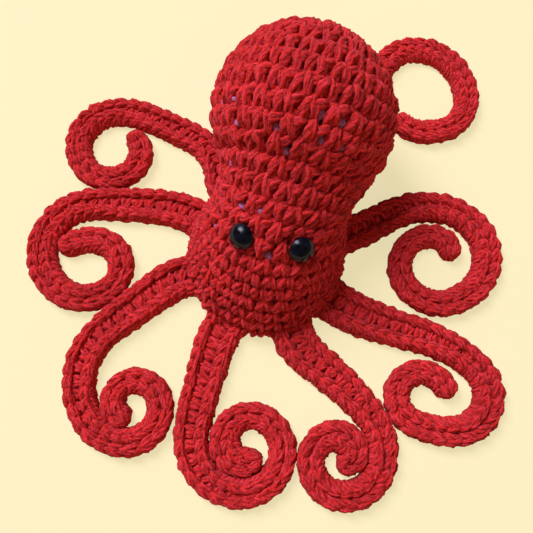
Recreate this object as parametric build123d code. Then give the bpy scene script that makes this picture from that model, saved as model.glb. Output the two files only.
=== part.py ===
from build123d import *
import os
from math import cos, radians, sin

# A crocheted octopus, stuffed, lying on a table with its eight curled arms spread flat.
# Millimetres. The origin is on the table at the middle of the round that the arms grow from.
# +Z is up, -Y is the front that the face looks over, +Y is the back where the head lies down,
# and +X is to the right of someone who looks from the front.

# Crocheted cloth
cloth_thick = 3.5            # skin of the head and body
strip_thick = 5.0            # arms, two strands of yarn deep
strip_edge_round = 1.5
nose_inset = 0.2              # how far the round root end stands inside the strip's outline
clearance = 0.3              # between pieces that move or are only laid together

# Body: an upright ring at the table, then a neck that leans back into the ball of the head
ring_radius = 28.5
ring_height = 5.6
head_radius = 32.2
head_centre = (13.3, 43.1)
head_flat_depth = 0.8        # how far the ball settles flat onto the table
lean_angle = 16.5            # the way the body lies, from +Y towards +X
spine_pull = (8.7, 21.0, 29.2)
tilt_per_spine = 88.0        # degrees that a round leans over along the whole spine
skirt_radius = 27.9
face_radius = 25.8
neck_radius = 23.4
throat_radius = 19.0         # end of the neck, well inside the ball of the head
skirt_at, face_at, neck_at, throat_at = 0.15, 0.30, 0.45, 0.70

# Closing disc under the body
disc_thick = 3.4

# Safety eyes: a domed button on a ribbed stem that a washer locks inside the cloth
eye_diameter = 8.0
eye_height = 4.8
eye_rim = 1.2
stem_diameter = 2.8
stem_length = 12.0
stem_rib = 0.35
stem_rib_pitch = 1.5
washer_diameter = 9.5
washer_thick = 1.4
eye_at = 0.37                # place along the spine
eye_turn = 5.0               # the face looks a little to the right
eye_spread = 23.0            # each eye's angle from the middle of the face

# Arms: the root's angle round the ring from the front, the way the curl turns (1 is
# clockwise from above), the strap's width at the root and at its end, then the stretches
# of the strap and of the curl as (length, bend towards the curl)
tip_width = 8.2
arms = {
    "a": dict(root=-150, hand=-1, width=11.0, end=11.0,
              strap=[(8, -22), (22, 54), (22, 5)],
              curl=[(14, 38), (16, 62), (15, 56), (15, 66), (13, 66), (6, 45)]),
    "b": dict(root=-122, hand=-1, width=14.0, end=12.0,
              strap=[(8, 17), (14, 12), (19, 3)],
              curl=[(18, 58), (16, 46), (16, 50), (14, 52), (14, 70), (14, 72), (11, 45)]),
    "c": dict(root=-77, hand=-1, width=15.0, end=10.0,
              strap=[(8, 24), (26, 3), (35, 82)],
              curl=[(16, 52), (12, 60), (11, 58), (10, 60), (8, 60), (7, 60)]),
    "d": dict(root=-30, hand=-1, width=15.0, end=9.8,
              strap=[(8, 14), (27.5, 4), (25, 77)],
              curl=[(16, 60), (14, 60), (12.5, 60), (11, 60), (9, 60), (7.5, 60), (5, 50)]),
    "e": dict(root=20, hand=1, width=15.0, end=10.5,
              strap=[(8, -26), (10, -5.5), (21, 14.5)],
              curl=[(21, 66), (15, 66), (13, 66), (11.5, 66), (9, 60), (5, 45)]),
    "f": dict(root=57, hand=1, width=15.5, end=11.0,
              strap=[(8, -8), (20.8, -10), (18, 16)],
              curl=[(10, 20), (14, 62), (15, 64), (15, 28), (12, 73), (14, 90), (8, 50)]),
    "g": dict(root=107, hand=1, width=13.2, end=11.2,
              strap=[(8, -8), (10, -2), (8, 7)],
              curl=[(17, 36), (16, 46), (17, 55), (18, 50), (15, 57), (13, 58), (14, 62), (8, 50)]),
    "h": dict(root=130, hand=1, width=10.2, end=10.4,
              strap=[(9, 0), (16, -32), (37, -14)],
              curl=[(18, 52), (14, 52), (15, 42), (17, 40), (15, 58), (10, 24)]),
}

# Worked out from the sizes above
lean = Vector(sin(radians(lean_angle)), cos(radians(lean_angle)), 0)
right = Vector(cos(radians(lean_angle)), -sin(radians(lean_angle)), 0)
up = Vector(0, 0, 1)
head_middle = Vector(*head_centre, head_radius - head_flat_depth)
hinge_height = strip_thick / 2
nose_diameter = strip_thick - nose_inset
hinge_radius = ring_radius + clearance + hinge_height


def spinePoint(t):
    """Point on the body's bent middle line, from the ring at 0 to the head's middle at 1."""
    start = up * ring_height
    return start * (1 - t) ** 2 + Vector(*spine_pull) * (2 * t * (1 - t)) + head_middle * t ** 2


def roundPlane(t):
    """Plane of one crocheted round, with x to the body's right side."""
    tilt = radians(tilt_per_spine * t)
    return Plane(origin=spinePoint(t), x_dir=right, z_dir=up * cos(tilt) + lean * sin(tilt))


def bodyRadius(t):
    """Outer radius of the round at t, in straight steps between the named rounds."""
    stops = [
        (0, ring_radius),
        (skirt_at, skirt_radius),
        (face_at, face_radius),
        (neck_at, neck_radius),
        (throat_at, throat_radius),
    ]
    for (low, r_low), (high, r_high) in zip(stops, stops[1:]):
        if t <= high:
            return r_low + (r_high - r_low) * (t - low) / (high - low)
    return stops[-1][1]


def bodySolid(inset):
    """Closed body shape, drawn in by inset on every side but the table side of the ring."""
    ring = extrude(Plane.XY * Circle(ring_radius - inset), ring_height)
    rounds = [
        roundPlane(t) * Circle(bodyRadius(t) - inset)
        for t in (0, skirt_at, face_at, neck_at, throat_at)
    ]
    neck = loft(rounds)
    ball = Pos(*head_middle) * Sphere(head_radius - inset)
    return ring + neck + ball


def aboveTable(shape, height):
    """The part of a shape that lies above a height over the table."""
    size = 8 * head_radius
    return shape & Pos(0, 0, height + size / 2) * Box(size, size, size)


def eyePlane(outside, side):
    """Plane that touches the cloth where an eye sits, facing out."""
    angle = radians(eye_turn + side * eye_spread)
    base = roundPlane(eye_at)
    out = base.x_dir * sin(angle) - base.y_dir * cos(angle)
    ray = Axis(base.origin, out)
    hits = outside.find_intersection_points(ray)
    seat, normal = max(hits, key=lambda hit: (hit[0] - base.origin).dot(out))
    return Plane(origin=seat, z_dir=normal)


def eyeSolid():
    """Domed button with a short rim and a ribbed stem, its flat back at z = 0."""
    radius = eye_diameter / 2
    rise = eye_height - eye_rim
    dome_radius = (radius ** 2 + rise ** 2) / (2 * rise)
    dome = Pos(0, 0, eye_height - dome_radius) * Sphere(dome_radius)
    button = dome & Pos(0, 0, eye_height / 2) * Cylinder(radius, eye_height)
    stem = Pos(0, 0, -stem_length / 2) * Cylinder(stem_diameter / 2, stem_length)
    first_rib = cloth_thick + washer_thick + stem_rib_pitch
    ribs = int((stem_length - first_rib) / stem_rib_pitch)
    for i in range(ribs):
        rib = Cone(stem_diameter / 2 + stem_rib, stem_diameter / 2, stem_rib_pitch / 2)
        stem += Pos(0, 0, -first_rib - i * stem_rib_pitch) * rib
    return button + stem


def washerSolid():
    """Dished locking washer, pushed up the stem against the inside of the cloth."""
    disc = Cylinder(washer_diameter / 2, washer_thick)
    disc -= Cylinder(stem_diameter / 2 + clearance / 3, washer_thick)
    return Pos(0, 0, -cloth_thick - 2 * clearance - washer_thick / 2) * disc


def armRoute(arm):
    """Chain of tangent arcs in plan: the strap's list, then the curl's list."""
    angle = radians(arm["root"])
    out = Vector(sin(angle), -cos(angle), 0)
    point, heading = out * hinge_radius, out
    strap, curl = [], []
    for chain, stretches in ((strap, arm["strap"]), (curl, arm["curl"])):
        for length, bend in stretches:
            if bend == 0:
                edge = Line(point, point + heading * length)
            else:
                edge = JernArc(point, heading, length / radians(abs(bend)), -arm["hand"] * bend)
            chain.append(edge)
            point, heading = edge @ 1, edge % 1
        point += heading * clearance
    return strap, curl


def stripSection(point, heading, width):
    """Rounded section of a strip, upright across its route."""
    plane = Plane(origin=point + up * strip_thick / 2, x_dir=heading.cross(up), z_dir=heading)
    return plane * RectangleRounded(width, strip_thick, strip_edge_round)


def strip(edges, start_width, end_width):
    """Flat crocheted strip with rounded edges, narrowing along a chain of arcs on the table."""
    total = sum(edge.length for edge in edges)
    sections = [stripSection(edges[0] @ 0, edges[0] % 0, start_width)]
    run = 0
    for edge in edges:
        run += edge.length
        width = start_width + (end_width - start_width) * run / total
        sections.append(stripSection(edge @ 1, edge % 1, width))
    path = Pos(0, 0, strip_thick / 2) * Wire(edges)
    return sweep(sections, path=path, multisection=True)


def rootNose(arm):
    """Round end of a strap about its hinge line, so that it can swing beside the ring."""
    angle = radians(arm["root"])
    out = Vector(sin(angle), -cos(angle), 0)
    turned = RectangleRounded(arm["width"] - 2 * nose_inset, nose_diameter, strip_edge_round)
    half = turned & Pos(0, nose_diameter / 4) * Rectangle(arm["width"], nose_diameter / 2)
    nose = revolve(half, Axis.X, 360)
    return Plane(origin=out * hinge_radius + up * hinge_height, x_dir=out.cross(up), z_dir=out) * nose


def strapSolid(arm):
    strap, curl = armRoute(arm)
    return strip(strap, arm["width"], arm["end"]) + rootNose(arm)


def curlSolid(arm):
    strap, curl = armRoute(arm)
    body = strip(curl, arm["end"], tip_width)
    half = RectangleRounded(tip_width, strip_thick, strip_edge_round)
    half &= Pos(tip_width / 4, 0, 0) * Rectangle(tip_width / 2, strip_thick)
    tip = revolve(Plane.XZ * half, Axis.Z, 180)
    heading = curl[-1] % 1
    end = Plane(origin=(curl[-1] @ 1) + up * strip_thick / 2, x_dir=heading.cross(up), z_dir=up)
    return body + end * tip


def build():
    parts = {}
    outside = aboveTable(bodySolid(0), 0)
    inside = aboveTable(bodySolid(cloth_thick), disc_thick)
    well = extrude(Circle(ring_radius - cloth_thick), ring_height)
    shell = outside - inside - well
    filling = aboveTable(bodySolid(cloth_thick + clearance), disc_thick + clearance)
    for side, name in ((-1, "left"), (1, "right")):
        seat = eyePlane(outside, side)
        hole = Cylinder(stem_diameter / 2 + clearance, 4 * cloth_thick)
        shell -= seat * hole
        pocket = Cylinder(washer_diameter / 2 + clearance, 2 * (stem_length + clearance))
        filling -= seat * pocket
        parts["eye_" + name] = seat * Pos(0, 0, clearance) * eyeSolid()
        parts["eye_washer_" + name] = seat * washerSolid()
    parts["body_shell"] = shell
    disc_radius = ring_radius - cloth_thick - clearance
    parts["base_disc"] = extrude(Circle(disc_radius), disc_thick)
    parts["stuffing"] = filling
    for letter, arm in arms.items():
        parts["arm_" + letter + "_strap"] = strapSolid(arm)
        parts["arm_" + letter + "_curl"] = curlSolid(arm)
    return parts


os.makedirs("parts", exist_ok=True)
for node, shape in build().items():
    export_step(shape, "parts/" + node + ".step")
    box = shape.bounding_box()
    print(f"{node:18s} solids {len(shape.solids())} volume {shape.volume:9.1f}"
          f"  {box.min.X:.1f} {box.min.Y:.1f} {box.min.Z:.1f}  {box.max.X:.1f} {box.max.Y:.1f} {box.max.Z:.1f}")
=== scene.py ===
import bpy
import numpy as np
from math import asin, cos, pi, radians, sin
from mathutils import Matrix, Vector


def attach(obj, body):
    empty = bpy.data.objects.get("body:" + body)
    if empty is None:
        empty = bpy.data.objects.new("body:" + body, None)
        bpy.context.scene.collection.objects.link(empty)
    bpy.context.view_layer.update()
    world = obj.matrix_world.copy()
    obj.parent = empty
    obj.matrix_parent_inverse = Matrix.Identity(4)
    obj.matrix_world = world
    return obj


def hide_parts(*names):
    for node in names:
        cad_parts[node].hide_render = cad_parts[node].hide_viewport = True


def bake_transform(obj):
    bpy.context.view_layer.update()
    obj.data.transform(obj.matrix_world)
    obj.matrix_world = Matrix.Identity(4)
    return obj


# Crocheted octopus: the yarn is laid stitch by stitch round the body and along the arms.
# Sizes in the dictionaries are millimetres, and everything in the scene is metres.
mm = 0.001
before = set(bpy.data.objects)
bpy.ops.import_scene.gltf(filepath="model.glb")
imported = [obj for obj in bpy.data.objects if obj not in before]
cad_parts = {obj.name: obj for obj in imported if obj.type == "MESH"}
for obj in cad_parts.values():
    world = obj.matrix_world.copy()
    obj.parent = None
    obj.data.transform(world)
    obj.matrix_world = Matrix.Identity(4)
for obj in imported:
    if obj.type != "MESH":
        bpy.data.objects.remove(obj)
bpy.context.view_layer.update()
bpy.ops.object.select_all(action="DESELECT")
chance = np.random.default_rng(8)
print("frame loaded")


def hexColour(text):
    # sRGB hex to the linear values that the shaders work in
    values = [int(text[i:i + 2], 16) / 255 for i in (1, 3, 5)]
    return [v / 12.92 if v <= 0.04045 else ((v + 0.055) / 1.055) ** 2.4 for v in values] + [1]


def addNode(material, kind, settings=None, **inputs):
    # adds a node, sets its properties, and fills or links its inputs by name, or by number as n0, n1
    node = material.node_tree.nodes.new(kind)
    for key, value in (settings or {}).items():
        setattr(node, key, value)
    for key, value in inputs.items():
        numbered = key[0] == "n" and key[1:].isdigit()
        socket = node.inputs[int(key[1:]) if numbered else key.replace("_", " ")]
        if isinstance(value, bpy.types.NodeSocket):
            material.node_tree.links.new(value, socket)
        else:
            socket.default_value = value
    return node


def newMaterial(name):
    material = bpy.data.materials.new(name)
    material.use_nodes = True
    material.node_tree.nodes.clear()
    return material


def finishMaterial(material, shader, **fixed):
    for name, value in fixed.items():
        shader.inputs[name.replace("_", " ")].default_value = value
    addNode(material, "ShaderNodeOutputMaterial", Surface=shader.outputs[0])
    return material


# Worsted acrylic yarn: soft plies, matt, with a pale bloom of fibre ends at grazing angles.
# Single filaments are about 0.02 mm, so they are drawn coarser, to show as streaks.
yarnLook = {
    "light": "#F8281F",
    # painted shade in the grooves between plies and in the fibre and tangle streaks, and a darker tone in
    # the blotches
    "deep": "#6C0600",
    # painted highlight: the pale pink that the fibre and tangle streaks lay on the yarn
    "highlight": "#FF4C5A",
    "fibrePitch": 0.5,    # across a strand
    "fibreRun": 2.4,      # along it
    "tangle": 0.9,
    "blotch": 14.0,
    "relief": 0.7,        # depth of the fibres and tangles
    "grooveLight": 0.2,   # share of the light colour left in the painted shade of the groove between two plies
    # each layer tints the one before: pattern, its value where the tint starts and where it is
    # full, the share of the tint there, and the tint. The fibre and tangle layers lay painted highlights
    # (the pale tint) and painted shade (the deep tint) in streaks; the blotches are a darker tone at
    # random
    "layers": (
        ("fibre", 0.48, 0.74, 0.9, "highlight"),
        ("fibre", 0.47, 0.27, 0.9, "deep"),
        ("tangle", 0.5, 0.72, 0.7, "highlight"),
        ("tangle", 0.46, 0.28, 0.6, "deep"),
        ("blotch", 0.4, 0.7, 0.25, "deep"),
    ),
}


def acrylicYarn(name, look):
    material = newMaterial(name)
    place = addNode(material, "ShaderNodeUVMap", {"uv_map": "yarn"})
    scale = (1 / look["fibrePitch"], 1 / look["fibreRun"], 1)
    along = addNode(material, "ShaderNodeMapping", Vector=place.outputs[0], Scale=scale)
    spot = addNode(material, "ShaderNodeTexCoord")
    patterns = {
        "fibre": addNode(material, "ShaderNodeTexNoise", {"noise_dimensions": "2D"},
                         Vector=along.outputs[0], Scale=1.0, Detail=4.0, Roughness=0.6),
        "tangle": addNode(material, "ShaderNodeTexNoise", Vector=spot.outputs["Object"],
                          Scale=1 / (look["tangle"] * mm), Detail=3.0, Roughness=0.7),
        "blotch": addNode(material, "ShaderNodeTexNoise", Vector=spot.outputs["Object"],
                          Scale=1 / (look["blotch"] * mm), Detail=2.0),
    }
    # painted shade: the colour falls from the light towards the deep red in the groove between plies
    groove = addNode(material, "ShaderNodeAttribute", {"attribute_name": "groove"})
    share = addNode(material, "ShaderNodeMapRange", Value=groove.outputs["Fac"],
                    n1=0.0, n2=1.0, n3=1.0, n4=look["grooveLight"])
    colour = addNode(material, "ShaderNodeMix", {"data_type": "RGBA"}, n0=share.outputs[0],
                     n6=hexColour(look["deep"]), n7=hexColour(look["light"]))
    # the pale tint paints highlights and the deep tint paints shade in the fibre and tangle streaks; the
    # blotches darken the tone at random
    for pattern, start, full, most, tint in look["layers"]:
        share = addNode(material, "ShaderNodeMapRange", Value=patterns[pattern].outputs["Fac"],
                        n1=start, n2=full, n3=0.0, n4=most)
        colour = addNode(material, "ShaderNodeMix", {"data_type": "RGBA"}, n0=share.outputs[0],
                         n6=colour.outputs[2], n7=hexColour(look[tint]))
    height = addNode(material, "ShaderNodeMath", {"operation": "ADD"},
                     n0=patterns["fibre"].outputs["Fac"], n1=patterns["tangle"].outputs["Fac"])
    bump = addNode(material, "ShaderNodeBump", Height=height.outputs[0], Strength=1.0,
                   Distance=look["relief"] * mm)
    shader = addNode(material, "ShaderNodeBsdfPrincipled", Base_Color=colour.outputs[2],
                     Roughness=0.85, Normal=bump.outputs[0])
    return finishMaterial(material, shader, Sheen_Weight=0.2, Sheen_Roughness=0.5,
                          Sheen_Tint=hexColour("#FF8A90"), Specular_IOR_Level=0.15)


# Polyester filling: matt, tangled fibre, tinted lilac where it shows between the stitches
fillingLook = {"light": "#CB86B8", "deep": "#6E3468", "tuft": 0.6, "relief": 0.4}


def fibreFilling(name, look):
    material = newMaterial(name)
    spot = addNode(material, "ShaderNodeTexCoord")
    tuft = addNode(material, "ShaderNodeTexNoise", Vector=spot.outputs["Object"],
                   Scale=1 / (look["tuft"] * mm), Detail=4.0, Roughness=0.7, Distortion=1.5)
    share = addNode(material, "ShaderNodeMapRange", Value=tuft.outputs["Fac"],
                    n1=0.3, n2=0.65, n3=0.0, n4=1.0)
    colour = addNode(material, "ShaderNodeMix", {"data_type": "RGBA"}, n0=share.outputs[0],
                     n6=hexColour(look["deep"]), n7=hexColour(look["light"]))
    bump = addNode(material, "ShaderNodeBump", Height=tuft.outputs["Fac"], Strength=0.7,
                   Distance=look["relief"] * mm)
    shader = addNode(material, "ShaderNodeBsdfPrincipled", Base_Color=colour.outputs[2],
                     Roughness=0.95, Normal=bump.outputs[0])
    return finishMaterial(material, shader, Sheen_Weight=0.2, Specular_IOR_Level=0.1)


# Moulded plastic: the eyes are polished black ABS, with faint wipe marks in the gloss;
# the washers behind the cloth are plain pale polyethylene with a fine moulded grain
eyeLook = {
    "dark": "#010205",
    "light": "#0A1020",
    "grain": 2.2,
    "polish": (0.12, 0.34),    # the least and the most roughness
    "relief": 0.3,        # depth of the marks
    "ior": 1.33,          # under the 1.54 of ABS, so that the pale table shows less in them
}
washerLook = {
    "dark": "#CFCDC4",
    "light": "#DEDCD3",
    "grain": 0.6,
    "polish": (0.45, 0.6),
    "relief": 0.03,
    "ior": 1.5,
}


def mouldedPlastic(name, look):
    material = newMaterial(name)
    spot = addNode(material, "ShaderNodeTexCoord")
    grain = addNode(material, "ShaderNodeTexNoise", Vector=spot.outputs["Object"],
                    Scale=1 / (look["grain"] * mm), Detail=3.0)
    share = addNode(material, "ShaderNodeMapRange", Value=grain.outputs["Fac"],
                    n1=0.35, n2=0.65, n3=0.0, n4=1.0)
    colour = addNode(material, "ShaderNodeMix", {"data_type": "RGBA"}, n0=share.outputs[0],
                     n6=hexColour(look["dark"]), n7=hexColour(look["light"]))
    polish = addNode(material, "ShaderNodeMapRange", Value=grain.outputs["Fac"], n1=0.3, n2=0.7,
                     n3=look["polish"][0], n4=look["polish"][1])
    bump = addNode(material, "ShaderNodeBump", Height=grain.outputs["Fac"], Strength=0.2,
                   Distance=look["relief"] * mm)
    shader = addNode(material, "ShaderNodeBsdfPrincipled", Base_Color=colour.outputs[2],
                     Roughness=polish.outputs[0], Normal=bump.outputs[0])
    return finishMaterial(material, shader, IOR=look["ior"])


yarnMaterial = acrylicYarn("worsted acrylic yarn, crocheted", yarnLook)
fillingMaterial = fibreFilling("polyester fibre filling, tinted lilac", fillingLook)
eyeMaterial = mouldedPlastic("black ABS, moulded and polished", eyeLook)
washerMaterial = mouldedPlastic("polyethylene, moulded plain", washerLook)
for node in ("eye_washer_left", "eye_washer_right"):
    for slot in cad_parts[node].material_slots:
        slot.material = washerMaterial
print("materials made")

yarn = {
    "plies": 4,
    "around": 16,         # points in a section, a multiple of twice the plies
    "aroundHidden": 8,    # and in the strands that close the cloth behind
    "plyDepth": 0.26,     # how deep the groove between plies is, as a share of the radius
    "twist": 22.0,        # length of one full turn of the plies
    "lumps": 0.06,        # how much the thickness wanders along a strand, as a share of the radius
    "fuzz": 0.08,         # and how much each point of the section strays
    "swell": (0.78, 0.34),    # thickness where a pulled stitch dives in, and what it gains between
    "offcut": 500,        # each strand is cut from somewhere in this length, so that none match
    "floor": 0.1,         # the yarn that lies on the table is pressed flat this far over it
}


def splineWeights(count, samples):
    # Catmull-Rom weights that turn a few control points into a smooth run of samples
    weights = np.zeros((samples, count))
    for row, t in enumerate(np.linspace(0, count - 1, samples)):
        i = min(int(t), count - 2)
        f = t - i
        w = [(-f + 2 * f ** 2 - f ** 3) / 2, (2 - 5 * f ** 2 + 3 * f ** 3) / 2,
             (f + 4 * f ** 2 - 3 * f ** 3) / 2, (-f ** 2 + f ** 3) / 2]
        for j in range(4):
            weights[row, min(max(i - 1 + j, 0), count - 1)] += w[j]
    return weights


def unit(vectors):
    return vectors / np.maximum(np.linalg.norm(vectors, axis=-1, keepdims=True), 1e-9)


def tubeFaces(strands, rings, around):
    # the faces round each strand's rings of points, and the caps that close its two ends
    index = np.arange(strands * rings * around).reshape(strands, rings, around)
    follow = np.roll(index, -1, axis=2)
    quads = np.stack([index[:, :-1], follow[:, :-1], follow[:, 1:], index[:, 1:]], axis=-1)
    return quads.reshape(-1, 4), np.concatenate([index[:, 0, ::-1], index[:, -1]])


def spinYarn(paths, radius, facing, around):
    # sweeps the plied section, of so many points around, along every path:
    # paths is (strand, ring, xyz) and radius (strand, ring)
    strands, rings, _ = paths.shape
    tangents = unit(np.gradient(paths, axis=1))
    steps = np.linalg.norm(np.diff(paths, axis=1), axis=2)
    run = np.concatenate([np.zeros((strands, 1)), np.cumsum(steps, axis=1)], axis=1)
    normal = facing - tangents[:, 0] * np.sum(facing * tangents[:, 0], axis=1, keepdims=True)
    normals = [unit(normal)]
    for k in range(1, rings):
        turned = normals[-1] - tangents[:, k] * np.sum(normals[-1] * tangents[:, k], axis=1, keepdims=True)
        normals.append(unit(turned))
    normals = np.stack(normals, axis=1)
    sides = np.cross(tangents, normals)
    turn = chance.uniform(0, 2 * pi, (strands, 1)) + run * 2 * pi / yarn["twist"]
    angles = np.linspace(0, 2 * pi, around, endpoint=False)
    lobe = np.abs(np.cos(angles * yarn["plies"] / 2))
    section = 1 - yarn["plyDepth"] * (1 - lobe)
    swell = yarn["swell"][0] + yarn["swell"][1] * np.sin(np.linspace(0, pi, rings))
    lumps = swell + chance.normal(0, yarn["lumps"], (strands, rings))
    spin = turn[:, :, None] + angles
    fuzz = chance.normal(0, yarn["fuzz"], (strands, rings, around))
    reach = (radius * lumps)[:, :, None] * (section + fuzz)
    points = paths[:, :, None] + (reach * np.cos(spin))[..., None] * normals[:, :, None]
    points = points + (reach * np.sin(spin))[..., None] * sides[:, :, None]
    quads, caps = tubeFaces(strands, rings, around)
    across = np.arange(around + 1) / around * 2 * pi * np.mean(radius)
    grid = np.zeros((strands, rings - 1, around))
    u0, u1 = across[:-1] + grid, across[1:] + grid
    shift = chance.uniform(0, yarn["offcut"], (strands, 1, 1))
    v0, v1 = run[:, :-1, None] + shift + grid, run[:, 1:, None] + shift + grid
    corners = ((u0, v0), (u1, v0), (u1, v1), (u0, v1))
    uvs = np.stack([np.stack(corner, -1) for corner in corners], axis=3).reshape(-1, 2)
    # the groove's depth between plies, which the yarn's material darkens as painted shade
    groove = np.broadcast_to(1 - lobe, (strands, rings, around)).reshape(-1)
    return points.reshape(-1, 3), quads, uvs, caps, groove


def addPiece(name, mesh):
    piece = bpy.data.objects.new(name, mesh)
    bpy.context.scene.collection.objects.link(piece)
    return piece


def yarnPiece(name, bundles):
    # joins bundles of strands, as spinYarn gives them, into one piece
    points, quads, uvs, caps, grooves = zip(*bundles)
    starts = np.concatenate([[0], np.cumsum([len(part) for part in points])[:-1]])
    faces = [part + start for kind in (quads, caps) for part, start in zip(kind, starts)]
    points = np.concatenate(points)
    points[:, 2] = np.maximum(points[:, 2], yarn["floor"])
    corners = np.concatenate([face.reshape(-1) for face in faces])
    sides = np.concatenate([np.full(len(face), face.shape[1]) for face in faces])
    uvs = np.concatenate(uvs)
    uvs = np.concatenate([uvs, np.zeros((len(corners) - len(uvs), 2))])    # the caps need none
    mesh = bpy.data.meshes.new(name)
    mesh.vertices.add(len(points))
    mesh.vertices.foreach_set("co", (points * mm).astype(np.float32).reshape(-1))
    mesh.loops.add(len(corners))
    mesh.loops.foreach_set("vertex_index", corners.astype(np.int32))
    mesh.polygons.add(len(sides))
    loopStarts = np.concatenate([[0], np.cumsum(sides)[:-1]])
    mesh.polygons.foreach_set("loop_start", loopStarts.astype(np.int32))
    mesh.polygons.foreach_set("use_smooth", np.ones(len(sides), dtype=bool))
    mesh.uv_layers.new(name="yarn").uv.foreach_set("vector", uvs.astype(np.float32).reshape(-1))
    attribute = mesh.attributes.new("groove", "FLOAT", "POINT")
    attribute.data.foreach_set("value", np.concatenate(grooves).astype(np.float32))
    mesh.validate()
    mesh.update()
    mesh.materials.append(yarnMaterial)
    piece = addPiece(name, mesh)
    return piece


# Body and head: rounds of single crochet from the ring on the table, over the face, to the crown.
# Each guide round is (front point, back point, half width, shift to the right), in the plane that
# the body leans in.
body = {
    "lean": 16.5,         # degrees to the right of straight back
    "headMiddle": (45.1, 31.4),    # in that plane, from the middle of the ring on the table
    "headRadius": 32.2,
    "crownLift": 18.5,    # degrees that the crown's direction rises over the table
    "guides": [
        ((-28.5, 0.4), (28.5, 0.4), 28.5, 0),
        ((-28.5, 5.6), (28.5, 5.0), 28.5, 0),
        ((-20.4, 18.6), (30.2, 5.6), 27.2, 0.5),
        ((-10.3, 29.7), (31.2, 4.6), 25.2, 1.0),
        ((1.2, 38.6), (32.2, 3.2), 23.6, 1.5),
    ],
    # the head's guide rounds: (degrees from the crown, shift)
    "headRounds": ((128, 1.4), (112, 1.0), (96, 0.7), (80, 0.5), (64, 0.3), (48, 0), (32, 0),
                   (16, 0), (2, 0)),
    "guideSteps": 600,    # places along the smooth run through the guides
    "faceStitch": 6.1,
    "faceRow": 5.3,
    "headStitch": 7.9,
    "headRow": 6.9,
    "faceEnd": 34.0,      # how far up the front the low, wide stitches of the face go
    "firstRow": 0.3,      # where the first row starts
    "leastRow": 2.0,      # a last row lower than this joins the one before
    "fewest": 6,          # stitches in a round
    "strand": 1.6,
}
lean = radians(body["lean"])
leanWay = np.array([sin(lean), cos(lean), 0])
rightWay = np.array([cos(lean), -sin(lean), 0])
upWay = np.array([0, 0, 1.0])


def guideRounds():
    rounds = [np.array([*front, *back, half, shift]) for front, back, half, shift in body["guides"]]
    lift = radians(body["crownLift"])
    axis, across = np.array([cos(lift), sin(lift)]), np.array([-sin(lift), cos(lift)])
    for degrees, shift in body["headRounds"]:
        polar = radians(degrees)
        middle = np.array(body["headMiddle"]) + body["headRadius"] * cos(polar) * axis
        reach = body["headRadius"] * sin(polar)
        front, back = middle + reach * across, middle - reach * across
        rounds.append(np.array([*front, *back, reach, shift]))
    return np.array(rounds)


guides = guideRounds()
dense = splineWeights(len(guides), body["guideSteps"]) @ guides
frontSteps = np.linalg.norm(np.diff(dense[:, :2], axis=0), axis=1)
frontRun = np.concatenate([[0], np.cumsum(frontSteps)])


def bodyPoint(run, angle):
    # run is the way up the front, and angle goes round from the front to the right
    values = [np.interp(run, frontRun, dense[:, i])[..., None] for i in range(6)]
    front = values[0] * leanWay + values[1] * upWay
    back = values[2] * leanWay + values[3] * upWay
    middle, half = (front + back) / 2, (front - back) / 2
    aside = rightWay * (values[4] * np.sin(angle)[..., None] + values[5])
    return middle + half * np.cos(angle)[..., None] + aside


def bodyNormal(run, angle):
    step, swing = 0.5, 0.02
    low, high = np.maximum(run - step, 0), np.minimum(run + step, frontRun[-1])
    up = bodyPoint(high, angle) - bodyPoint(low, angle)
    aside = bodyPoint(run, angle + swing) - bodyPoint(run, angle - swing)
    return unit(np.cross(aside, up))


def discPoint(run, angle):
    return np.stack([run * np.sin(angle), -run * np.cos(angle), 0 * run], axis=-1)


def discNormal(run, angle):
    return np.stack([0 * run, 0 * run, -1 + 0 * run], axis=-1)


# One stitch, as the strands that show: two legs that meet towards the crown, the top loop beside
# them, the loop that they come out of, and two strands that close the cloth behind.
# Points are (across the stitch, up the row, millimetres over the outside of the cloth).
stitches = {
    "head": {
        "leg": [(0.16, -0.10, -3.0), (0.10, 0.08, -1.7), (0.12, 0.38, -0.8), (0.20, 0.68, -0.6),
                (0.29, 0.90, -1.4), (0.34, 1.04, -3.0)],
        "otherLeg": [(0.58, -0.10, -3.0), (0.62, 0.08, -1.7), (0.58, 0.38, -0.8), (0.49, 0.68, -0.6),
                     (0.40, 0.90, -1.4), (0.36, 1.04, -3.0)],
        "top": [(0.50, 0.44, -2.9), (0.62, 0.58, -1.5), (0.77, 0.74, -0.8), (0.92, 0.86, -1.4),
                (1.02, 0.96, -2.9)],
        "loop": [(-0.06, 0.00, -3.2), (0.16, -0.03, -2.6), (0.50, 0.03, -2.5), (0.84, -0.03, -2.6),
                 (1.06, 0.00, -3.2)],
        "back": [(-0.1, 0.66, -3.3), (0.3, 0.60, -3.0), (0.7, 0.66, -3.0), (1.1, 0.60, -3.3)],
        "lowBack": [(-0.1, 0.26, -3.3), (0.3, 0.32, -3.0), (0.7, 0.26, -3.0), (1.1, 0.32, -3.3)],
    },
    "face": {
        "leg": [(0.24, 0.00, -3.2), (0.16, 0.14, -1.6), (0.17, 0.42, -0.5), (0.25, 0.66, -0.5),
                (0.33, 0.86, -1.5), (0.39, 0.98, -3.2)],
        "otherLeg": [(0.68, 0.00, -3.2), (0.75, 0.14, -1.6), (0.72, 0.42, -0.6), (0.63, 0.66, -0.6),
                     (0.53, 0.86, -1.5), (0.46, 0.98, -3.2)],
        "loop": [(-0.06, 0.02, -3.1), (0.16, 0.00, -2.6), (0.50, 0.04, -2.5), (0.84, 0.00, -2.6),
                 (1.06, 0.02, -3.1)],
        "back": [(-0.1, 0.66, -3.3), (0.3, 0.60, -3.0), (0.7, 0.66, -3.0), (1.1, 0.60, -3.3)],
        "lowBack": [(-0.1, 0.26, -3.3), (0.3, 0.32, -3.0), (0.7, 0.26, -3.0), (1.1, 0.32, -3.3)],
    },
}
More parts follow.
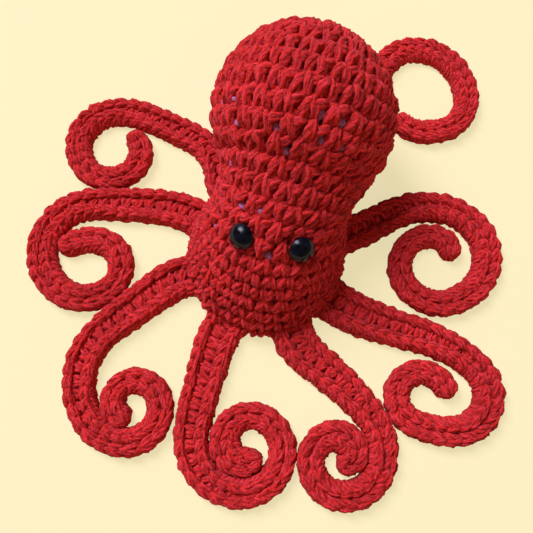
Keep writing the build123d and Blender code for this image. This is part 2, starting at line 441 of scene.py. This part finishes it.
stitchLay = {
    "rings": 9,           # sections along a strand
    "wander": 0.045,      # how far stitches stray from their place, as a share of their size
    "rise": 0.14,         # and in or out, in millimetres
    "shift": 0.15,        # how far a round starts from its place, as a share of a stitch
    "thickness": 0.04,    # how much the yarn's thickness differs from stitch to stitch
    "open": 0.42,         # share of stitches on the front of the head that the filling shows beside
    "openFrom": 31.0,     # along the front, where these begin
    "openTo": 92.0,
    "openMiddle": -0.08,  # their middle and how far to each side they go, in half turns
    "openSide": 0.3,
    "openPlace": (0.86, 0.24),    # where the hole is, across the stitch and up the row
    "openClear": 9.0,     # no filling shows nearer to an eye than this
    "openPart": 0.08,     # how far the legs beside a hole move apart, as a share of the stitch
    "loopDrop": 1.5,      # how much deeper the loop lies under a hole
}


# Each eye presses the cloth in under its rim
press = {
    "eyeHeight": 4.8,     # of the eye's button over its flat back
    "reach": 6.5,         # from the middle of the eye
    "fade": 1.9,          # width over which it stops
    "depth": 6.0,         # yarn that lies deeper than this stays where it is
}
eyeNodes = ("eye_left", "eye_right")


def eyeSeats():
    # middle of each eye's flat back and the way it faces, from the node's own points
    seats = []
    for node in eyeNodes:
        points = np.array([tuple(v.co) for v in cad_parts[node].data.vertices]) / mm
        middle = points.mean(axis=0)
        way = np.linalg.svd(points - middle, full_matrices=False)[2][0]
        way = way * np.sign(way[2])
        top = np.max((points - middle) @ way)
        seats.append((middle + way * (top - press["eyeHeight"]), way))
    return seats


seats = eyeSeats()


def pressByEyes(paths, thick):
    # sinks the yarn near an eye to just behind the eye's flat back
    for seat, way in seats:
        gap = paths - seat
        height = gap @ way
        aside = np.linalg.norm(gap - height[..., None] * way, axis=-1)
        share = np.clip((press["reach"] - aside) / press["fade"], 0, 1) * (height > -press["depth"])
        sunk = np.minimum(height, -thick)
        paths = paths + ((sunk - height) * share)[..., None] * way
    return paths


gaps = []    # where the filling shows: (run, angle) of the middle of each open stitch


def layStitches(low, high, count, offset, kind, point, normal, openShare=0.0):
    # one round of count stitches of a kind, between the runs low and high of a surface that
    # point and normal give
    bundles = []
    across, up = stitchLay["openPlace"]
    # how far round each stitch's hole would be, in half turns from the front
    turned = (np.arange(count) + across + offset) / count % 1 * 2
    aside = np.abs((turned - stitchLay["openMiddle"] + 1) % 2 - 1)
    opened = (aside < stitchLay["openSide"]) & (chance.random(count) < openShare)
    for turn in turned[opened]:
        hole = point(np.array(low + up * (high - low)), np.array(turn * pi))
        if min(np.linalg.norm(hole - seat) for seat, way in seats) > stitchLay["openClear"]:
            gaps.append((low + up * (high - low), turn * pi))
    for part, points in stitches[kind].items():
        shape = np.array(points, float)
        around = yarn["aroundHidden"] if part in ("back", "lowBack") else yarn["around"]
        cells = np.flatnonzero(~opened) if part == "lowBack" else np.arange(count)
        control = np.repeat(shape[None], len(cells), axis=0)
        if part == "loop":
            control[opened, :, 2] -= stitchLay["loopDrop"]
        elif part == "otherLeg":
            control[opened, :, 0] -= stitchLay["openPart"]
        elif part == "leg":
            control[np.roll(opened, 1), :, 0] += stitchLay["openPart"]
        control[:, :, :2] += chance.normal(0, stitchLay["wander"], (len(cells), 1, 2))
        scatter = chance.normal(0, stitchLay["wander"] / 2, (len(cells), len(shape), 2))
        control[:, :, :2] += scatter
        control[:, :, 2] += chance.normal(0, stitchLay["rise"], (len(cells), 1))
        weights = splineWeights(len(shape), stitchLay["rings"])
        smooth = np.einsum("kc,ncd->nkd", weights, control)
        angle = (cells[:, None] + offset + smooth[:, :, 0]) * 2 * pi / count
        run = np.clip(low + (high - low) * smooth[:, :, 1], 0, frontRun[-1])
        facing = normal(run, angle)
        thickness = chance.normal(1, stitchLay["thickness"], (len(cells), 1))
        thick = body["strand"] * thickness * np.ones(run.shape)
        paths = pressByEyes(point(run, angle) + facing * smooth[:, :, 2:3], thick)
        bundles.append(spinYarn(paths, thick, facing[:, 0], around))
    return bundles


def rowPlan():
    # where each round of stitches starts and ends, how many stitches it has, and of which kind
    plan, run = [], body["firstRow"]
    while run < frontRun[-1] - body["leastRow"]:
        kind = "face" if run < body["faceEnd"] else "head"
        high = min(run + body[kind + "Row"], frontRun[-1])
        if frontRun[-1] - high < body["leastRow"]:
            high = frontRun[-1]
        width = np.interp((run + high) / 2, frontRun, dense[:, 4])
        count = max(body["fewest"], int(round(2 * pi * width / body[kind + "Stitch"])))
        plan.append((run, high, count, kind))
        run = high
    return plan


plan = rowPlan()
# The pieces that the body is laid in, and the share of its rows at which each one ends
groupEnds = {"skirt": 0.16, "face": 0.34, "neck": 0.54, "head": 0.76, "crown": 1.0}
groups = {where: [] for where in groupEnds}
for row, (low, high, count, kind) in enumerate(plan):
    where = next(name for name, end in groupEnds.items() if row / len(plan) < end)
    openShare = stitchLay["open"] if stitchLay["openFrom"] < low < stitchLay["openTo"] else 0.0
    offset = 0.5 * (row % 2) + chance.uniform(-stitchLay["shift"], stitchLay["shift"])
    groups[where] += layStitches(low, high, count, offset, kind, bodyPoint, bodyNormal, openShare)
for where, bundles in groups.items():
    piece = yarnPiece("body_rounds_" + where, bundles)
    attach(piece, "body")
    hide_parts("body_shell")
print("body laid:", len(plan), "rounds,", sum(count for _, _, count, _ in plan), "stitches")

# Closing disc under the body: flat rounds of the same stitch, seen from below
disc = {"radius": 24.2, "hole": 1.0, "row": 6.0, "stitch": 7.4}
bundles = []
edges = np.linspace(disc["hole"], disc["radius"], int(round(disc["radius"] / disc["row"])) + 1)
for low, high in zip(edges[:-1], edges[1:]):
    count = max(body["fewest"], int(round(pi * (low + high) / disc["stitch"])))
    bundles += layStitches(low, high, count, chance.uniform(0, 1), "head", discPoint, discNormal)
piece = yarnPiece("base_rounds", bundles)
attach(piece, "body")
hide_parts("base_disc")
print("base laid")

# Eyes: a low polished cap, undercut at its edge, on the stem that holds it in the cloth
eyeShape = {
    "top": 4.1,           # height of the cap over its flat back
    "bow": 5.15,          # radius of the cap's curve
    "bowPoints": 26,
    "edge": 4.4,          # radius of the edge
    "edgeHeight": 0.3,
    "edgeSwell": 0.03,    # how far the edge stands out halfway down
    "edgeTuck": 0.1,      # and how far it is drawn in under that
    "back": 3.2,          # radius of the flat back
    "stem": 1.4,
    "stemEnd": -12.0,
    "rib": 0.35,          # the ribs that the washer clicks over
    "ribPitch": 1.5,
    "ribStart": -6.0,
    "ribFall": 0.1,       # height of a rib's steep side
    "steps": 64,
    "merge": 0.001,       # points on the axis are nearer than this, and are joined
}


def eyeProfile(shape):
    # (radius, height) from the top of the cap down to the end of the stem
    bow, edge, stem, rib, pitch = [shape[key] for key in ("bow", "edge", "stem", "rib", "ribPitch")]
    middle = shape["top"] - bow
    bowAngles = np.linspace(0, asin(edge / bow), shape["bowPoints"])
    line = [(bow * sin(angle), middle + bow * cos(angle)) for angle in bowAngles]
    low = line[-1][1] - shape["edgeHeight"]
    line += [(edge + shape["edgeSwell"], low + shape["edgeHeight"] / 2), (edge - shape["edgeTuck"], low)]
    line += [(shape["back"], 0), (stem, 0)]
    for height in np.arange(shape["ribStart"], shape["stemEnd"] + pitch, -pitch):
        ribTop = height - pitch / 2
        line += [(stem, height), (stem + rib, ribTop), (stem, ribTop - shape["ribFall"])]
    return line + [(stem, shape["stemEnd"]), (0, shape["stemEnd"])]


profile = eyeProfile(eyeShape)
for name, (seat, way) in zip(eyeNodes, seats):
    mesh = bpy.data.meshes.new(name + "_cap")
    mesh.from_pydata([(radius * mm, 0, height * mm) for radius, height in profile],
                     [(i, i + 1) for i in range(len(profile) - 1)], [])
    piece = addPiece(name + "_cap", mesh)
    bpy.context.view_layer.objects.active = piece
    spin = piece.modifiers.new("spin", "SCREW")
    spin.steps = spin.render_steps = eyeShape["steps"]
    spin.use_merge_vertices = True
    spin.merge_threshold = eyeShape["merge"] * mm
    spin.use_smooth_shade = True
    bpy.ops.object.modifier_apply(modifier="spin")
    turn = Vector(way).to_track_quat("Z", "Y").to_matrix().to_4x4()
    piece.data.transform(Matrix.Translation(Vector(seat) * mm) @ turn)
    piece.data.materials.append(eyeMaterial)
    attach(piece, "body")
    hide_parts(name)
print("eyes made")

# Filling: a firm lump of loose fibre, and a small tuft of it in every open stitch
filling = {
    "depth": 4.1,         # of the lump under the outside of the cloth
    "around": 96,
    "along": 90,
    "ends": (4.5, 0.5),   # how far along the front from the body's two ends it starts and ends
    "foot": 3.9,          # its lowest level, over the closing disc
    "rough": 0.5,         # height of the loose lumps on its surface
    "waves": 14,
    "waveLength": (2.5, 9.0),
    "tuft": (1.9, 1.9, 1.3),
    "tuftSpread": (0.8, 1.15),    # how small and how large a tuft gets
    "tuftDepth": 2.5,     # of its middle
    "tuftAround": 12,
    "tuftAlong": 7,
    "tuftCap": 0.2,       # radians from its axis at which a tuft is closed off
}


def looseLumps(points):
    # soft random lumps from a few crossed waves
    total = np.zeros(points.shape[:-1])
    for _ in range(filling["waves"]):
        way = unit(chance.normal(size=3)) * 2 * pi / chance.uniform(*filling["waveLength"])
        total += np.sin(points @ way + chance.uniform(0, 2 * pi))
    return total[..., None] / filling["waves"] ** 0.5 * filling["rough"]


def closedFaces(rings, around, start):
    # the faces of one closed tube, whose points are numbered from start
    return [(part + start).tolist() for part in tubeFaces(1, rings, around)]


def fillingLump():
    # just inside the cloth all round
    first, last = filling["ends"]
    runs = np.linspace(first, frontRun[-1] - last, filling["along"])[:, None] + np.zeros(filling["around"])
    angles = np.linspace(0, 2 * pi, filling["around"], endpoint=False) + 0 * runs
    outside = bodyNormal(runs, angles)
    places = bodyPoint(runs, angles) - outside * filling["depth"]
    places = places + outside * looseLumps(places)
    places[..., 2] = np.maximum(places[..., 2], filling["foot"])
    return places


def roundTuft():
    # a ball, one across, as rings of points from its lowest up
    turns = np.linspace(0, 2 * pi, filling["tuftAround"], endpoint=False)
    falls = np.linspace(pi - filling["tuftCap"], filling["tuftCap"], filling["tuftAlong"])
    turn, fall = np.meshgrid(turns, falls)
    return np.stack([np.sin(fall) * np.cos(turn), np.sin(fall) * np.sin(turn), np.cos(fall)], axis=-1)


points = fillingLump().reshape(-1, 3).tolist()
quads, caps = closedFaces(filling["along"], filling["around"], 0)
faces = quads + caps
ball = roundTuft()
for run, angle in gaps:
    run, angle = np.array(run), np.array(angle)
    middle = bodyPoint(run, angle) - bodyNormal(run, angle) * filling["tuftDepth"]
    tuft = ball * filling["tuft"] * chance.uniform(*filling["tuftSpread"], 3)
    tuft = tuft + ball * looseLumps(tuft)
    quads, caps = closedFaces(filling["tuftAlong"], filling["tuftAround"], len(points))
    faces += quads + caps
    points += (middle + tuft.reshape(-1, 3)).tolist()
mesh = bpy.data.meshes.new("filling")
mesh.from_pydata((np.array(points) * mm).tolist(), [], faces)
mesh.polygons.foreach_set("use_smooth", [True] * len(faces))
mesh.materials.append(fillingMaterial)
piece = addPiece("filling", mesh)
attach(piece, "body")
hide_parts("stuffing")
print("filling made, with", len(gaps), "tufts")

# Arms: the root's angle round the ring from the front, the way the arm curls (1 to its right), the
# strap's width at the root and at its end, then the stretches of the strap and of the curl on the
# table as (length, bend in degrees). Some arms have one more stretch, at the tip, or a plump curl,
# this much fuller on its inner side.
armRoutes = {
    "a": dict(root=-150, hand=-1, width=11.0, end=11.0, strap=[(8, -22), (22, 54), (22, 5)],
              curl=[(14, 38), (16, 62), (15, 56), (15, 66), (13, 66), (6, 45)], plump=1.2),
    "b": dict(root=-122, hand=-1, width=14.0, end=12.0, strap=[(8, 17), (14, 12), (19, 3)],
              curl=[(18, 58), (16, 46), (16, 50), (14, 52), (14, 70), (14, 72), (11, 45)], plump=1.2),
    "c": dict(root=-77, hand=-1, width=15.0, end=10.0, strap=[(8, 24), (26, 3), (35, 82)],
              curl=[(16, 52), (12, 60), (11, 58), (10, 60), (8, 60), (7, 60)], tip=(3, 30)),
    "d": dict(root=-30, hand=-1, width=15.0, end=9.8, strap=[(8, 14), (27.5, 4), (25, 77)],
              curl=[(16, 60), (14, 60), (12.5, 60), (11, 60), (9, 60), (7.5, 60), (5, 50)], plump=2.4),
    "e": dict(root=20, hand=1, width=15.0, end=10.5, strap=[(8, -26), (10, -5.5), (21, 14.5)],
              curl=[(21, 66), (15, 66), (13, 66), (11.5, 66), (9, 60), (5, 45)], tip=(7, 90), plump=2.4),
    "f": dict(root=57, hand=1, width=15.5, end=11.0, strap=[(8, -8), (20.8, -10), (18, 16)],
              curl=[(10, 20), (14, 62), (15, 64), (15, 28), (12, 73), (14, 90), (8, 50)]),
    "g": dict(root=107, hand=1, width=13.2, end=11.2, strap=[(8, -8), (10, -2), (8, 7)],
              curl=[(17, 36), (16, 46), (17, 55), (18, 50), (15, 57), (13, 58), (14, 62), (8, 50)],
              tip=(4, 45)),
    "h": dict(root=130, hand=1, width=10.2, end=10.4, strap=[(9, 0), (16, -32), (37, -14)],
              curl=[(18, 52), (14, 52), (15, 42), (17, 40), (15, 58), (10, 24)], tip=(9, 50),
              plump=1.2),
}
armShape = {
    "start": 31.3,        # from the middle of the ring to the hinge
    "gap": 0.3,           # between strap and curl
    "tip": (0.5, 0),      # the stretch at the tip of an arm that has none of its own
    "tipWidth": 8.2,
    "tipBlunt": 0.96,     # share of the round tip at which it is closed off
    "rootReach": 4.5,     # how far the arm runs in under the ring's cloth
    "step": 0.25,         # along the arm's line
    "pitch": 4.5,         # one stitch along the arm
    "rings": 8,           # sections along a strand
    "rootCells": 4,       # stitches that bend at the root
    "pastHinge": 2,       # stitches that bend at the curl's hinge and lie past it
    "rootBend": (-3.0, 6.0),    # where the root starts and ends to bend, from its hinge
    "curlBend": 4.0,      # how far to each side of the curl's hinge the strap bends
    "bendHeight": 2.5,
    "plumpAt": (34, 14, 1),    # where a plump curl starts to widen, is widest and ends, from its tip
    "proud": 0.5,         # soft edge beyond the strip's half width
    "leastReach": 0.3,    # from the middle of the strip to its outermost strand, at least
    "hollowTo": 0.75,     # share of the strap that has an open hollow along it
    "closing": 26.0,      # length over which the hollow closes
    "strand": (1.3, 1.45),    # radius of the yarn in a narrow and in a wide strip
    "strandAt": (4.5, 8.2),   # half the width of these strips
    "stray": (0.035, 0.02, 0.12),    # of a stitch along, across and over the strip, in armStitch's units
}

# One stitch of an arm, from the outer side (-1) to the curl's side (+1): points are
# (share of the pitch, share of the half width, height over the table). A strap has a chain along
# each edge and a hollow between them; in the curl, the chains close over it.
armStitch = {
    "strap": {
        "outerLinkOut": [(-0.32, -0.80, 2.0), (-0.06, -0.84, 3.4), (0.32, -0.93, 4.2), (0.74, -1.0, 3.9),
                         (1.02, -1.0, 2.7)],
        "outerLinkIn": [(-0.32, -0.90, 2.0), (-0.06, -0.84, 3.5), (0.32, -0.76, 4.3), (0.74, -0.66, 4.1),
                        (1.02, -0.62, 2.7)],
        "innerLinkOut": [(-0.32, 0.74, 2.2), (-0.06, 0.68, 3.6), (0.32, 0.57, 4.5), (0.74, 0.46, 4.2),
                         (1.02, 0.42, 2.9)],
        "innerLinkIn": [(-0.32, 0.62, 2.2), (-0.06, 0.68, 3.7), (0.32, 0.78, 4.4), (0.74, 0.88, 4.0),
                        (1.02, 0.92, 2.8)],
        "hollowOne": [(0.00, -0.66, 1.7), (0.05, -0.36, 2.6), (0.14, 0.00, 2.9), (0.24, 0.40, 2.3)],
        "hollowTwo": [(0.54, -0.66, 1.7), (0.52, -0.36, 2.6), (0.44, 0.00, 2.9), (0.34, 0.40, 2.3)],
        "legOne": [(-0.12, 0.66, 2.7), (0.04, 0.82, 3.1), (0.20, 0.96, 2.5), (0.28, 1.0, 1.4)],
        "legTwo": [(0.38, 0.66, 2.7), (0.54, 0.82, 3.1), (0.70, 0.96, 2.5), (0.78, 1.0, 1.4)],
        "outerWall": [(0.0, -0.95, 1.2), (0.25, -1.02, 2.2), (0.5, -1.0, 3.0), (0.7, -0.94, 3.4)],
    },
    "curl": {
        "outerLinkOut": [(-0.32, -0.66, 2.0), (-0.06, -0.74, 3.4), (0.32, -0.88, 4.2), (0.74, -1.0, 3.9),
                         (1.02, -1.0, 2.7)],
        "outerLinkIn": [(-0.32, -0.80, 2.0), (-0.06, -0.74, 3.5), (0.32, -0.58, 4.3), (0.74, -0.42, 4.1),
                        (1.02, -0.36, 2.7)],
        "innerLinkOut": [(-0.32, 0.44, 2.2), (-0.06, 0.36, 3.6), (0.32, 0.22, 4.6), (0.74, 0.08, 4.3),
                         (1.02, 0.02, 2.9)],
        "innerLinkIn": [(-0.32, 0.28, 2.2), (-0.06, 0.36, 3.7), (0.32, 0.48, 4.5), (0.74, 0.62, 4.2),
                        (1.02, 0.66, 2.9)],
        "hollowOne": [(0.02, -0.62, 1.6), (0.10, -0.36, 2.6), (0.24, -0.08, 2.8), (0.34, 0.20, 2.2)],
        "hollowTwo": [(0.58, -0.62, 1.6), (0.56, -0.36, 2.6), (0.48, -0.08, 2.8), (0.42, 0.20, 2.2)],
        "legOne": [(-0.12, 0.50, 2.9), (0.06, 0.70, 3.6), (0.24, 0.90, 2.9), (0.34, 1.0, 1.5)],
        "legTwo": [(0.36, 0.50, 2.9), (0.54, 0.70, 3.6), (0.72, 0.90, 2.9), (0.84, 1.0, 1.5)],
        "outerWall": [(0.0, -0.95, 1.2), (0.25, -1.02, 2.2), (0.5, -1.0, 3.0), (0.7, -0.94, 3.4)],
    },
}
# and the strands under it, which close the cloth on the table's side
armBacking = {
    "outerEdge": [(-0.2, -0.96, 1.2), (0.3, -1.0, 1.35), (0.7, -1.0, 1.2), (1.15, -0.96, 1.3)],
    "innerEdge": [(-0.2, 0.96, 1.2), (0.3, 1.0, 1.3), (0.7, 1.0, 1.2), (1.15, 0.96, 1.3)],
    "bedOut": [(-0.4, -0.58, 1.2), (0.3, -0.61, 1.2), (0.7, -0.56, 1.2), (1.4, -0.6, 1.2)],
    "bedLeft": [(-0.4, -0.20, 1.2), (0.3, -0.17, 1.2), (0.7, -0.22, 1.2), (1.4, -0.18, 1.2)],
    "bedRight": [(-0.4, 0.20, 1.2), (0.3, 0.17, 1.2), (0.7, 0.22, 1.2), (1.4, 0.18, 1.2)],
    "bedIn": [(-0.4, 0.60, 1.2), (0.3, 0.56, 1.2), (0.7, 0.61, 1.2), (1.4, 0.58, 1.2)],
    "underOut": [(0.1, -0.95, 1.4), (0.3, -0.6, 1.15), (0.5, -0.2, 1.1), (0.55, 0.1, 1.4)],
    "underIn": [(0.6, 0.95, 1.4), (0.45, 0.6, 1.15), (0.2, 0.2, 1.1), (0.1, -0.1, 1.4)],
}


def armLine(arm):
    # distance, x, y and heading at every step along the arm, and the strap's length;
    # the distance is 0 at the hinge
    heading = radians(arm["root"]) - pi / 2
    reach = armShape["start"] - armShape["rootReach"]
    x, y, run = reach * cos(heading), reach * sin(heading), -armShape["rootReach"]
    line = [(run, x, y, heading)]
    stretches = [(armShape["rootReach"], 0), *arm["strap"], (armShape["gap"], 0), *arm["curl"]]
    stretches += [arm.get("tip", armShape["tip"]), (armShape["tipWidth"] / 2, 0)]
    for length, bend in stretches:
        steps = max(2, int(length / armShape["step"]))
        turn = -arm["hand"] * radians(bend) / steps
        for _ in range(steps):
            x += cos(heading + turn / 2) * length / steps
            y += sin(heading + turn / 2) * length / steps
            heading += turn
            run += length / steps
            line.append((run, x, y, heading))
    return np.array(line), sum(length for length, bend in arm["strap"])


def halfWidth(arm, run, strapLength, end):
    # half the strip's width, narrowing to the round tip
    tipRadius = armShape["tipWidth"] / 2
    stations = (0, strapLength, end - tipRadius)
    widths = np.interp(run, stations, (arm["width"], arm["end"], armShape["tipWidth"]))
    past = np.clip((run - (end - tipRadius)) / tipRadius, 0, armShape["tipBlunt"])
    return (widths / 2 + armShape["proud"]) * np.sqrt(1 - past ** 2)


def armBundles(arm, line, strapLength, first, last, total):
    # the stitches from number first up to last, out of total, along the arm's line
    start, end = line[0, 0], line[-1, 0]
    pitch = (end - start) / total
    cells = np.arange(first, last)
    bundles = []
    past = start + (cells + 0.5) * pitch - armShape["hollowTo"] * strapLength
    closing = np.clip(past / armShape["closing"], 0, 1)[:, None, None]
    hollow, closed = armStitch["strap"], armStitch["curl"]
    strands = [(hollow[part], closed[part], yarn["around"]) for part in hollow]
    strands += [(points, points, yarn["aroundHidden"]) for points in armBacking.values()]
    for strapPoints, curlPoints, around in strands:
        shape = np.array(strapPoints, float)
        control = shape + closing * (np.array(curlPoints, float) - shape)
        for axis, stray in enumerate(armShape["stray"]):
            control[:, :, axis] += chance.normal(0, stray, (len(cells), 1))
        smooth = np.einsum("kc,ncd->nkd", splineWeights(len(shape), armShape["rings"]), control)
        run = np.clip(start + (cells[:, None] + smooth[:, :, 0]) * pitch, start, end)
        x, y, heading = [np.interp(run, line[:, 0], line[:, i]) for i in (1, 2, 3)]
        half = halfWidth(arm, run, strapLength, end)
        thick = np.interp(half, armShape["strandAt"], armShape["strand"])
        plump = np.interp(run, end - np.array(armShape["plumpAt"]), (0, arm.get("plump", 0), 0))
        reach = np.maximum(half - thick, armShape["leastReach"]) + plump * (smooth[:, :, 1] > 0)
        side = -arm["hand"] * smooth[:, :, 1] * reach
        paths = [x - np.sin(heading) * side, y + np.cos(heading) * side, smooth[:, :, 2]]
        facing = np.repeat(upWay[None], len(cells), axis=0)
        bundles.append(spinYarn(np.stack(paths, axis=-1), thick, facing, around))
    return bundles


for letter, arm in armRoutes.items():
    line, strapLength = armLine(arm)
    total = int(round((line[-1, 0] - line[0, 0]) / armShape["pitch"]))
    pitch = (line[-1, 0] - line[0, 0]) / total
    rootEnd = armShape["rootCells"]
    strapEnd = int(round((strapLength + armShape["rootReach"]) / pitch)) + armShape["pastHinge"]
    name = "arm_" + letter
    parts = (("_root", 0, rootEnd), ("_strap_yarn", rootEnd, strapEnd), ("_curl_yarn", strapEnd, total))
    root, strap, curl = [
        yarnPiece(name + ending, armBundles(arm, line, strapLength, first, last, total))
        for ending, first, last in parts]
    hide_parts(name + "_strap")
    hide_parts(name + "_strap")
    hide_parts(name + "_curl")
    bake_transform(root)
    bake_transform(strap)
    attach(curl, "curl_" + letter)
print("arms laid")

# Floor: matt cream paper. Its glow keeps it pale where it is seen, straight or mirrored in an eye,
# and adds no diffuse light to the toy.
paper = {"colour": "#FDF1C3", "glow": 0.75, "size": 40}    # size in metres
floorMaterial = newMaterial("cream paper backdrop")
floorShader = addNode(floorMaterial, "ShaderNodeBsdfPrincipled", Base_Color=hexColour(paper["colour"]),
                      Roughness=0.9)
glow = addNode(floorMaterial, "ShaderNodeEmission", Color=hexColour(paper["colour"]), Strength=1.0)
seen = addNode(floorMaterial, "ShaderNodeLightPath")
mirrored = addNode(floorMaterial, "ShaderNodeMath", {"operation": "MAXIMUM"},
                   n0=seen.outputs["Is Glossy Ray"], n1=seen.outputs["Is Transmission Ray"])
shown = addNode(floorMaterial, "ShaderNodeMath", {"operation": "MAXIMUM"},
                n0=seen.outputs["Is Camera Ray"], n1=mirrored.outputs[0])
share = addNode(floorMaterial, "ShaderNodeMath", {"operation": "MULTIPLY"},
                n0=shown.outputs[0], n1=paper["glow"])
finishMaterial(floorMaterial, addNode(floorMaterial, "ShaderNodeMixShader", n0=share.outputs[0],
                                      n1=floorShader.outputs[0], n2=glow.outputs[0]))
bpy.ops.mesh.primitive_plane_add(size=paper["size"], location=(0, 0, 0))
floor = bpy.context.object
floor.name = "floor"
floor.data.materials.append(floorMaterial)

# Light: a cool window far off and a weak warm fill from the room, with places and sizes in metres
room = {"colour": "#FFE9D4", "strength": 0.15}
lamps = {
    # mirrored tells whether a lamp shows in the eyes
    "window light": {"place": (-1.16, 1.3, 2.22), "size": (1.1, 1.6), "power": 111.0,
                     "colour": "#EEEAFF", "mirrored": True},
    "room fill": {"place": (0.9, -2.1, 2.0), "size": (1.6, 1.6), "power": 13.0,
                  "colour": "#FFD3A6", "mirrored": False},
}
lampTarget = Vector((0, 0, 0.02))
scene = bpy.context.scene
scene.view_settings.view_transform = "Standard"
world = bpy.data.worlds.new("soft room")
scene.world = world
world.use_nodes = True
background = world.node_tree.nodes["Background"]
background.inputs["Color"].default_value = hexColour(room["colour"])
background.inputs["Strength"].default_value = room["strength"]
for name, look in lamps.items():
    data = bpy.data.lights.new(name, "AREA")
    data.shape = "RECTANGLE"
    data.size, data.size_y = look["size"]
    data.energy = look["power"]
    data.color = hexColour(look["colour"])[:3]
    lamp = bpy.data.objects.new(name, data)
    scene.collection.objects.link(lamp)
    lamp.location = look["place"]
    lamp.rotation_euler = (lampTarget - Vector(look["place"])).to_track_quat("-Z", "Y").to_euler()
    lamp.visible_glossy = look["mirrored"]

# Camera: high in front of the face, looking down on the toy
view = {
    "elevation": 74,      # degrees over the table
    "distance": 220,
    "target": (0.6, -2.2, 0),
    "lens": 38.6,
    "sensor": 36,
    "nearest": 5,         # what is closer than this isn't shown
}
cameraData = bpy.data.cameras.new("camera")
cameraData.lens = view["lens"]
cameraData.sensor_width = view["sensor"]
cameraData.clip_start = view["nearest"] * mm
camera = bpy.data.objects.new("camera", cameraData)
scene.collection.objects.link(camera)
lift = radians(view["elevation"])
offset = Vector((0, -cos(lift), sin(lift))) * view["distance"] * mm
camera.location = Vector(view["target"]) * mm + offset
camera.rotation_euler = (-offset).to_track_quat("-Z", "Y").to_euler()
scene.camera = camera
print("floor, light and camera placed")

print("done")
